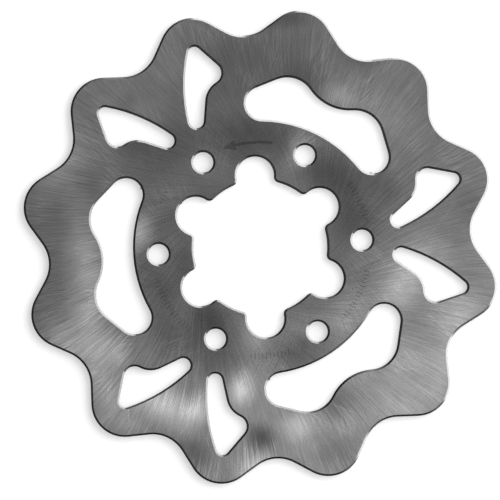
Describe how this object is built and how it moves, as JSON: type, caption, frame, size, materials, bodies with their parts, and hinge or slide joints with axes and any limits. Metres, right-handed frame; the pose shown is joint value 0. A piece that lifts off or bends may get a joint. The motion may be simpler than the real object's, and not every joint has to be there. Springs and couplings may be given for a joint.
{
  "type": "brake disc rotor",
  "caption": "Flat wave-edged steel brake disc with a lobed centre opening, a ring of bolt holes, long curved windows and paired fin windows; it bolts to a wheel hub and is gripped by a caliper.",
  "frame": {"origin": "centre of the bolt circle, on the face that sits on the wheel hub", "axes": "+Z out of the outer face along the wheel's axle, +X through one bolt hole"},
  "size_m": [0.1942, 0.1942, 0.004],
  "materials": {
    "rotor_steel": "ground flat, grey, with fine swept grinding lines"
  },
  "bodies": {
    "root": {"brake_disc": "rotor_steel"}
  },
  "joints": []
}
